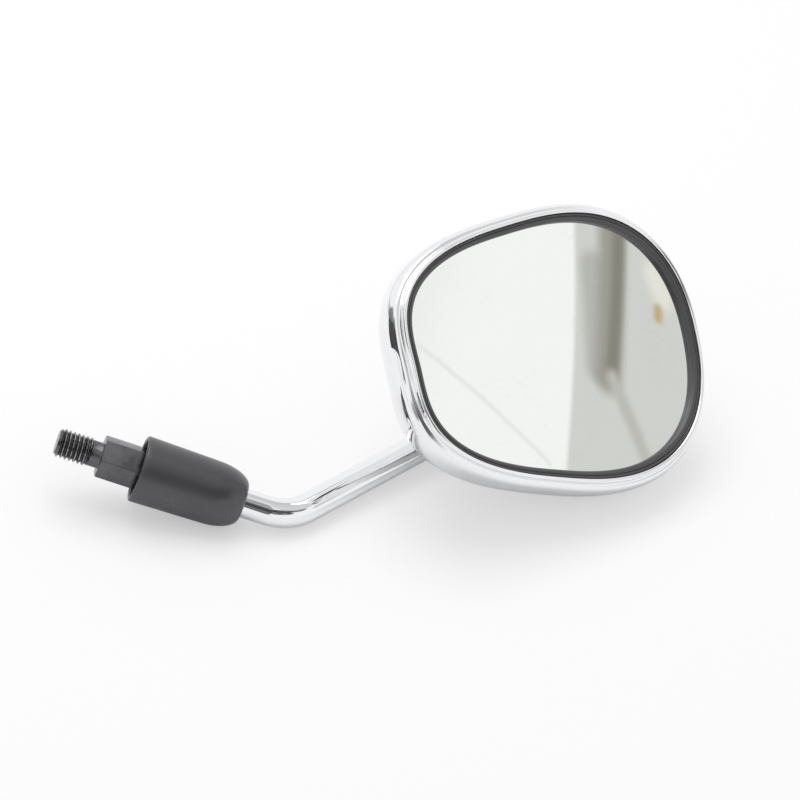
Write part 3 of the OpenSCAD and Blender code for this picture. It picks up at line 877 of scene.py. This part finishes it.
def boot_sections():
    """Radius and height around the boot's wall: rim, outside, rounded end, grip, inside."""
    s = arm_sizes()
    wall = s.boot_wall
    rim = wall / 2
    edge = 0.3 * MM
    top = s.boot_bottom + s.boot_length
    shoulder = top - s.boot_round
    inner_top = top - s.boot_grip
    mouth = s.boot_mouth - rim
    lowest = s.boot_bottom + rim
    sections = [(mouth - rim * math.cos(a), lowest - rim * math.sin(a))
                for a in steps(0, math.pi, 10)]
    sections += [(s.boot_mouth + (s.boot_end - s.boot_mouth) * t,
                  lowest + (shoulder - s.boot_bottom - rim) * t) for t in steps(0, 1, 14)[1:]]
    core = s.boot_end - s.boot_draw
    sections += [(core + s.boot_draw * cos, shoulder + s.boot_round * sin)
                 for sin, cos in quarter(20)[1:]]
    sections += [(s.grip_radius + edge, top), (s.grip_radius, top - edge),
                 (s.grip_radius, inner_top)]
    hollow = [(core - wall + s.boot_draw * math.cos(a),
               shoulder + (inner_top - shoulder) * math.sin(a))
              for a in steps(math.pi / 2, 0, 12)]
    sections += [(r, z) for r, z in hollow if r > s.grip_radius]
    sections += [(s.boot_end - wall + (s.boot_mouth - s.boot_end) * t,
                  shoulder + (lowest - shoulder) * t) for t in steps(0, 1, 8)[1:-1]]
    return sections


class MIRROR_OT_boot(Operator):
    """Soft boot: a tapered sleeve with a rounded end and a rounded rim"""
    bl_idname = "mirror.boot"
    bl_label = "Boot"

    def execute(self, context):
        rings = circle_rings(Matrix(), boot_sections(), BOOT_POINTS)
        boot = loft("soft_boot", rings, closed=True)
        finish_piece(boot, "boot", "boot", ["boot"], "Soft Boot Plastic", smooth=50)
        return {"FINISHED"}


# Where the screw bosses stand around the ball's axis, in degrees, and how far back their
# pilot holes reach
BOSS_ANGLES = (90, 210, 330)
PILOT_FLOOR = -4.1 * MM


class MIRROR_OT_shell(Operator):
    """Chromed shell: raised round lip, swelling shoulder, domed back, collar and screw bosses"""
    bl_idname = "mirror.shell"
    bl_label = "Shell"

    def execute(self, context):
        h = head_sizes()
        shell = loft("chrome_shell", shell_rings(), closed=True)
        boss_foot = h.floor_depth - h.wall / 2
        for angle in BOSS_ANGLES:
            place = (head_place() @ Matrix.Rotation(math.radians(angle), 4, "Z")
                     @ Matrix.Translation((h.boss_circle, 0, 0)))
            for name, radius, heights, count, operation in (
                ("boss", h.boss_radius, (boss_foot, 0.0), BOSS_POINTS, "UNION"),
                ("pilot", h.pilot_radius, (PILOT_FLOOR, MM), PILOT_POINTS, "DIFFERENCE"),
            ):
                rings = circle_rings(place, [(radius, z) for z in heights], count)
                combine(shell, loft(name, rings, capped=True), operation)
        finish_piece(shell, "head", "shell", ["housing_shell"], "Bright Chrome")
        return {"FINISHED"}


# Fine groove in the gasket's face: distance from the opening's edge and depth, in millimetres
FACE_GROOVE = ((0.78, 0.0), (0.86, 0.06), (0.92, 0.3), (1.0, 0.36), (1.08, 0.3), (1.14, 0.06),
               (1.22, 0.0))


class MIRROR_OT_gasket(Operator):
    """Rubber frame with rounded edges, a fine groove in its face and a groove for the glass"""
    bl_idname = "mirror.gasket"
    bl_label = "Gasket"

    def execute(self, context):
        h = head_sizes()
        gap = 0.05 * MM
        outer_round = 0.6 * MM
        inner_round = 1.1 * MM
        front = h.gasket_front
        inner = -h.gasket_width
        groove = gap - h.glass_inset
        under = -h.glass_thickness - gap
        rings = [outline_ring(-gap, h.ledge_front), outline_ring(-gap, front - outer_round)]
        rings += [outline_ring(-gap - outer_round * (1 - cos), front - outer_round * (1 - sin))
                  for sin, cos in quarter(5)[1:]]
        rings += [outline_ring(-gap - across * MM, front - sunk * MM)
                  for across, sunk in FACE_GROOVE]
        rings += [outline_ring(inner + inner_round * (1 - sin), front - inner_round * (1 - cos))
                  for sin, cos in quarter(6)]
        rings += [outline_ring(grow, depth, over_glass=True) for grow, depth in (
            (inner, gap), (groove, gap), (groove, under), (inner, under))]
        rings.append(outline_ring(inner, h.ledge_front))
        gasket = loft("rubber_frame", rings, closed=True)
        finish_piece(gasket, "head", "gasket", ["gasket"], "Frame Rubber")
        return {"FINISHED"}


class MIRROR_OT_glass(Operator):
    """Convex glass with ground edges, silvered, with paint on its back"""
    bl_idname = "mirror.glass"
    bl_label = "Glass"

    def execute(self, context):
        h = head_sizes()
        edge = 0.25 * MM
        grow = -h.glass_inset
        face = grow - edge
        back = -h.glass_thickness
        inward = steps(1, 0, 18)[1:]
        rings = [glass_ring(t, back, face) for t in inward[::-1]]
        rings += [glass_ring(1, back, face), glass_ring(1, back + edge, grow),
                  glass_ring(1, -edge, grow), glass_ring(1, 0, face)]
        rings += [glass_ring(t, 0, face) for t in inward]
        glass = loft("convex_glass", rings)
        finish_piece(glass, "head", "glass", ["mirror_glass"], "Silvered Glass", "Backing Paint",
                     smooth=20)
        forward = head_place().to_3x3() @ Vector((0, 0, 1))
        for polygon in glass.data.polygons:
            polygon.material_index = 1 if polygon.normal.dot(forward) < -0.5 else 0
        return {"FINISHED"}


class MIRROR_OT_pad(Operator):
    """Foam pad that is bonded to the back of the glass, with soft edges"""
    bl_idname = "mirror.pad"
    bl_label = "Foam Pad"

    def execute(self, context):
        h = head_sizes()
        grow = -h.pad_inset
        soft = 1.2 * MM
        front_round = 0.4 * MM
        under = -h.glass_thickness - 0.03 * MM
        back = h.pad_back
        rings = [pad_ring(t, back, grow - soft) for t in steps(0, 1, 12)]
        rings += [pad_ring(1, back + soft * (1 - cos), grow - soft * (1 - sin))
                  for sin, cos in quarter(4)[1:]]
        rings += [glass_ring(1, under - front_round, grow)]
        rings += [glass_ring(t, under, grow - front_round) for t in steps(1, 0, 12)]
        pad = loft("foam_pad_soft", rings)
        finish_piece(pad, "head", "foam", ["foam_pad"], "Closed-cell Foam", smooth=60)
        return {"FINISHED"}


class MIRROR_OT_joint_parts(Operator):
    """Finishes of the lock nut and of the ball joint inside the head"""
    bl_idname = "mirror.joint_parts"
    bl_label = "Joint Parts"

    def execute(self, context):
        finish_of = {"lock_nut": "Clear Zinc Plate", "pivot_ball": "Ground Steel",
                     "rear_liner": "Natural Nylon", "front_liner": "Natural Nylon",
                     "socket": "Black Filled Nylon", "clamp_plate": "Yellow Zinc Plate"}
        for number in (1, 2, 3):
            finish_of[f"clamp_screw_{number}"] = "Clear Zinc Plate"
            finish_of[f"clamp_washer_{number}"] = "Clear Zinc Plate"
            finish_of[f"clamp_spring_{number}"] = "Spring Wire"
        for name, finish in finish_of.items():
            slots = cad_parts[name].data.materials
            slots.clear()
            slots.append(finish_named(finish))
        return {"FINISHED"}


# The camera and the table stand as they did for the photograph
CAMERA_PLACE = Vector((1.22539, -1.55840, -0.20303))
CAMERA_RIGHT = Vector((-0.15475, -0.30775, 0.93880)).normalized()
CAMERA_BACK = Vector((0.63049, -0.76235, -0.14598)).normalized()
SENSOR_WIDTH = 36
TABLE_SIZE = 6
TABLE_TILT = math.radians(40)
TABLE_ROLL = math.radians(10.4)
# The light's place in the table's frame, its target over the table, its width and height
KEY_PLACE = Vector((-0.25, 0.35, 1.1))
KEY_TARGET = Vector((0, 0, 0.03))
KEY_SIZE = (1.0, 0.8)
# Steps from the camera to the dark card left of the head, to the right, up and away, and
# the card's length and height
DARK_CARD = (-0.105, 0.028, 1.93)
CARD_SIZE = (0.13, 0.045)


def camera_axes():
    up = CAMERA_BACK.cross(CAMERA_RIGHT).normalized()
    right = up.cross(CAMERA_BACK).normalized()
    return right, up, CAMERA_BACK


def place_from(axes, origin):
    """The place with these x, y and z axes and this origin."""
    place = Matrix(axes).transposed().to_4x4()
    place.translation = origin
    return place


def table_place():
    """Frame of the table: the origin below the middle of the object, z up from the table."""
    right, up, back = camera_axes()
    rolled = math.cos(TABLE_ROLL) * up + math.sin(TABLE_ROLL) * right
    normal = (math.cos(TABLE_TILT) * rolled + math.sin(TABLE_TILT) * back).normalized()
    level = min(vertex.co.dot(normal) for name in ("arm_rod", "housing_shell", "boot")
                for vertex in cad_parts[name].data.vertices)
    middle = (Vector(CAD_BOX[0]) + Vector(CAD_BOX[1])) / 2
    side = (right - normal * right.dot(normal)).normalized()
    origin = middle + normal * (level - middle.dot(normal))
    return place_from((side, normal.cross(side), normal), origin)


def stand_camera():
    data = bpy.data.cameras.new("Camera")
    data.lens = bpy.context.scene.mirror_studio.focal_length
    data.sensor_width = SENSOR_WIDTH
    data.clip_start = 0.05
    data.clip_end = 20
    camera = bpy.data.objects.new("Camera", data)
    bpy.context.scene.collection.objects.link(camera)
    camera.matrix_world = place_from(camera_axes(), CAMERA_PLACE)
    bpy.context.scene.camera = camera


def lay_table(table):
    deselect()
    bpy.ops.mesh.primitive_plane_add(size=TABLE_SIZE)
    cloth = bpy.context.object
    cloth.name = "table"
    cloth.data.transform(table)
    cloth.data.materials.append(finish_named("Table Cloth"))


def hang_key_light(table):
    """Soft rectangular light over the table, which looks at the object along its -z."""
    data = bpy.data.lights.new("Key", "AREA")
    data.shape = "RECTANGLE"
    data.size, data.size_y = KEY_SIZE
    data.energy = bpy.context.scene.mirror_studio.key_power
    light = bpy.data.objects.new("Key", data)
    bpy.context.scene.collection.objects.link(light)
    place = table @ KEY_PLACE
    direction = (table @ KEY_TARGET - place).normalized()
    turned = direction.to_track_quat("-Z", "Y").to_matrix().to_4x4()
    turned.translation = place
    light.matrix_world = turned
    light.visible_camera = False


def stand_card():
    """Dark card left of the head, which only the polished parts see."""
    right, up, back = camera_axes()
    to_right, upward, away = DARK_CARD
    deselect()
    bpy.ops.mesh.primitive_grid_add(x_subdivisions=12, y_subdivisions=4, size=1)
    card = bpy.context.object
    card.name = "dark_card"
    centre = CAMERA_PLACE + right * to_right + up * upward - back * away
    card.data.transform(place_from((back, up, right), centre)
                        @ Matrix.Diagonal((*CARD_SIZE, 1, 1)))
    card.data.materials.append(finish_named("Dark Card"))
    for use in ("camera", "diffuse", "shadow", "transmission"):
        setattr(card, f"visible_{use}", False)


# What the polished parts mirror: soft bars of grey between two directions. Each row has the
# longitude and latitude of both ends, half the bar's width and its soft edge, in degrees as
# seen from the camera, and its colour.
ROOM_BARS = (
    (-112, 5, -60, 7, 7, 4, (0.05, 0.055, 0.05)),
    (-118, 15, -45, 12, 6, 7, (0.13, 0.13, 0.13)),
    (-92, 17, -70, 22, 5, 5, (0.17, 0.17, 0.17)),
    (-37, -17, 0, -3, 5, 7, (0.28, 0.28, 0.29)),
    (7, -25, 20, 7, 5.5, 3, (0.03, 0.03, 0.033)),
    (22, -9, 36, -3, 9, 4, (0.06, 0.06, 0.064)),
    (26, 6, 52, 14, 5.5, 4, (0.035, 0.035, 0.038)),
    (-106.5, 10, -105, 11, 1.5, 1.5, (0.03, 0.22, 0.10)),
    (-104, 4, -103, 5, 1.2, 1.5, (0.55, 0.20, 0.06)),
    (-105, -1, -104, 0, 1.5, 1.5, (0.05, 0.22, 0.62)),
    (24, 10, 29, 36, 2, 3, (0.32, 0.32, 0.32)),
    (-40, 66, 60, 66, 9, 9, (0.34, 0.34, 0.35)),
    (50, 30, 74, 54, 11, 8, (0.68, 0.68, 0.68)),
    (84, 22, 77, 8, 8, 0.3, (0.70, 0.70, 0.685)),
    (77.86, 20.3, 77.99, 19.4, 0.1, 0.7, (0.86, 0.84, 0.78)),
    (74.8, 21, 73.6, 17.6, 0.3, 0.6, (0.52, 0.52, 0.49)),
    (76.4, 22.1, 73.96, 17.2, 0.25, 0.75, (0.38, 0.37, 0.335)),
    (76.76, 22, 74.2, 17.3, 0.05, 0.5, (0.27, 0.26, 0.225)),
    (74.14, 17.1, 74.9, 14, 0.02, 0.5, (0.56, 0.55, 0.52)),
    (77.5, 19.06, 77.4, 18.8, 0.02, 0.36, (0.58, 0.45, 0.25)),
    (65, 19.4, 67.4, 17.2, 0.02, 0.14, (0.88, 0.88, 0.88)),
    (67.4, 17.2, 70, 14.5, 0.02, 0.14, (0.88, 0.88, 0.87)),
)

# A bar with a softer edge than this, in degrees, is mottled
CRISP_EDGE = 1


def seen_direction(longitude, latitude):
    """A direction given by its angles from the camera's axis, as a vector of the scene."""
    right, up, back = camera_axes()
    longitude = math.radians(longitude)
    latitude = math.radians(latitude)
    level = right * math.sin(longitude) + back * math.cos(longitude)
    return level * math.cos(latitude) + up * math.sin(latitude)


def bar_mask(tree, direction, start, end, half_width, soft):
    """1 within a bar between two directions, 0 outside its soft edge."""
    span = end - start
    offset = vector_maths(tree, "SUBTRACT", direction, start)
    along = vector_maths(tree, "DOT_PRODUCT", offset, span, output="Value")
    share = maths(tree, "DIVIDE", along, span.length_squared)
    share.node.use_clamp = True
    nearest = tree.nodes.new("ShaderNodeVectorMath")
    nearest.operation = "SCALE"
    feed(tree, nearest.inputs[0], span)
    feed(tree, nearest.inputs["Scale"], share)
    away = vector_maths(tree, "DISTANCE", offset, nearest.outputs[0], output="Value")
    return ramp(tree, away, math.radians(half_width), math.radians(half_width + soft), 1.0, 0.0)


def surroundings(level):
    """A white room with grey bars for reflections, and a plain level for the light."""
    world = bpy.data.worlds.new("Studio")
    bpy.context.scene.world = world
    world.use_nodes = True
    tree = world.node_tree
    direction = tree.nodes.new("ShaderNodeTexCoord").outputs["Generated"]
    path = tree.nodes.new("ShaderNodeLightPath").outputs
    mottle = ramp(tree, noise(tree, direction, 9.0, 4.0), 0.3, 0.75, 1.0, 0.72)
    shown = (1, 1, 1)
    for *angles, half_width, soft, tone in ROOM_BARS:
        start = seen_direction(*angles[:2])
        end = seen_direction(*angles[2:])
        mask = bar_mask(tree, direction, start, end, half_width, soft)
        if soft > CRISP_EDGE:
            mask = maths(tree, "MULTIPLY", mask, mottle)
        shown = blend(tree, mask, shown, tone)
    room = new_node(tree, "ShaderNodeBackground", Color=shown).outputs["Background"]
    seen = maths(tree, "ADD", path["Is Camera Ray"], path["Is Transmission Ray"])
    plain = tree.nodes["Background"]
    set_inputs(tree, plain, Color=(1, 1, 1, 1), Strength=ramp(tree, seen, 0.0, 1.0, level, 1.0))
    mixed = mix_shaders(tree, path["Is Glossy Ray"], plain.outputs["Background"], room)
    set_inputs(tree, tree.nodes["World Output"], Surface=mixed)


class MIRROR_OT_studio(Operator):
    """Camera, table, soft light, dark card and white surroundings"""
    bl_idname = "mirror.studio"
    bl_label = "Studio"

    def execute(self, context):
        table = table_place()
        stand_camera()
        lay_table(table)
        hang_key_light(table)
        stand_card()
        surroundings(context.scene.mirror_studio.world_level)
        context.scene.view_settings.view_transform = "Standard"
        return {"FINISHED"}


class MIRROR_PT_pieces(Panel):
    """The pieces of the mirror, in the order in which they are made"""
    bl_idname = "MIRROR_PT_pieces"
    bl_label = "Motorcycle Mirror"
    bl_space_type = "VIEW_3D"
    bl_region_type = "UI"
    bl_category = "Mirror"

    def draw(self, context):
        column = self.layout.column(align=True)
        for operator in PIECES:
            column.operator(operator.bl_idname)


GROUPS = (
    ("mirror_arm", MirrorArmSizes),
    ("mirror_head", MirrorHeadSizes),
    ("mirror_finishes", MirrorFinishes),
    ("mirror_studio", MirrorStudio),
)
PIECES = (
    MIRROR_OT_finishes, MIRROR_OT_stud_adapter, MIRROR_OT_arm, MIRROR_OT_boot, MIRROR_OT_shell,
    MIRROR_OT_gasket, MIRROR_OT_glass, MIRROR_OT_pad, MIRROR_OT_joint_parts, MIRROR_OT_studio,
)


def register():
    for name, group in GROUPS:
        bpy.utils.register_class(group)
        setattr(bpy.types.Scene, name, PointerProperty(type=group))
    for operator in PIECES:
        bpy.utils.register_class(operator)
    bpy.utils.register_class(MIRROR_PT_pieces)


def unregister():
    bpy.utils.unregister_class(MIRROR_PT_pieces)
    for operator in reversed(PIECES):
        bpy.utils.unregister_class(operator)
    for name, group in reversed(GROUPS):
        delattr(bpy.types.Scene, name)
        bpy.utils.unregister_class(group)


def main():
    register()
    bpy.ops.mirror.finishes()
    bpy.ops.mirror.stud_adapter()
    bpy.ops.mirror.arm()
    bpy.ops.mirror.boot()
    bpy.ops.mirror.shell()
    bpy.ops.mirror.gasket()
    bpy.ops.mirror.glass()
    bpy.ops.mirror.pad()
    bpy.ops.mirror.joint_parts()
    bpy.ops.mirror.studio()


if __name__ == "__main__":
    main()
